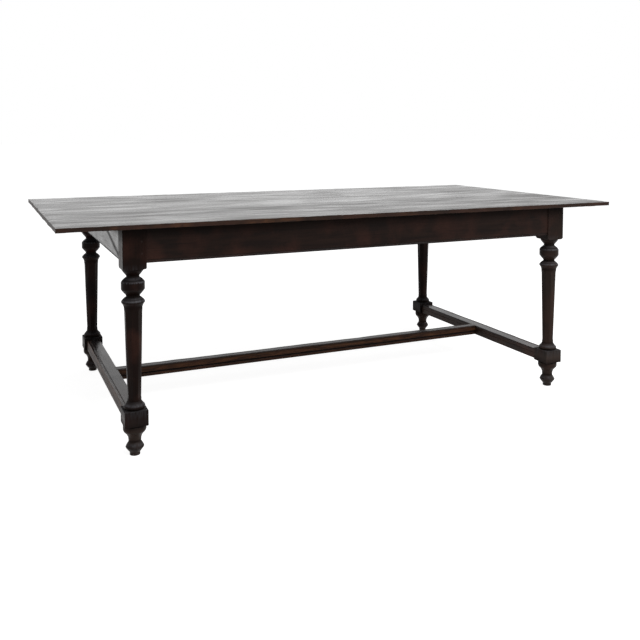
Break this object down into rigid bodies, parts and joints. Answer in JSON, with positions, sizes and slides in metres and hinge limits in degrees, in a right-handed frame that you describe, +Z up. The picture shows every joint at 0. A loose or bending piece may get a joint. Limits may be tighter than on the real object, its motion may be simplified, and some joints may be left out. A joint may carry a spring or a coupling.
{
  "type": "farmhouse table",
  "caption": "Long refectory table: thin plank top on turned legs with tapered octagonal shafts, a beaded apron and a low H-shaped stretcher.",
  "frame": {"origin": "on the floor, below the middle of the top", "axes": "+X to the right along the table's length, +Y from the front to the back, +Z up"},
  "size_m": [2.18, 1.12, 0.7565],
  "materials": {
    "stained_oak_top": "worn satin, dark stain",
    "stained_oak_legs": "satin, dark stain, worn on edges",
    "stained_oak_aprons": "satin, dark stain",
    "stained_oak_stretchers": "satin, dark stain, worn on top",
    "plain_oak": "bare, aged",
    "peg_oak": "satin, dark stain"
  },
  "bodies": {
    "root": {"top_board_1": "stained_oak_top", "top_board_2": "stained_oak_top", "top_board_3": "stained_oak_top", "top_board_4": "stained_oak_top", "top_board_5": "stained_oak_top", "leg_front_left": "stained_oak_legs", "leg_front_right": "stained_oak_legs", "leg_back_left": "stained_oak_legs", "leg_back_right": "stained_oak_legs", "apron_front": "stained_oak_aprons", "apron_back": "stained_oak_aprons", "apron_left": "stained_oak_aprons", "apron_right": "stained_oak_aprons", "stretcher_left": "stained_oak_stretchers", "stretcher_right": "stained_oak_stretchers", "stretcher_long": "stained_oak_stretchers", "bearer_left": "plain_oak", "bearer_right": "plain_oak", "buttons_front": "plain_oak", "buttons_back": "plain_oak", "buttons_left": "plain_oak", "buttons_right": "plain_oak", "apron_pegs": "peg_oak", "stretcher_pegs": "peg_oak", "cross_pegs": "peg_oak"}
  },
  "joints": []
}
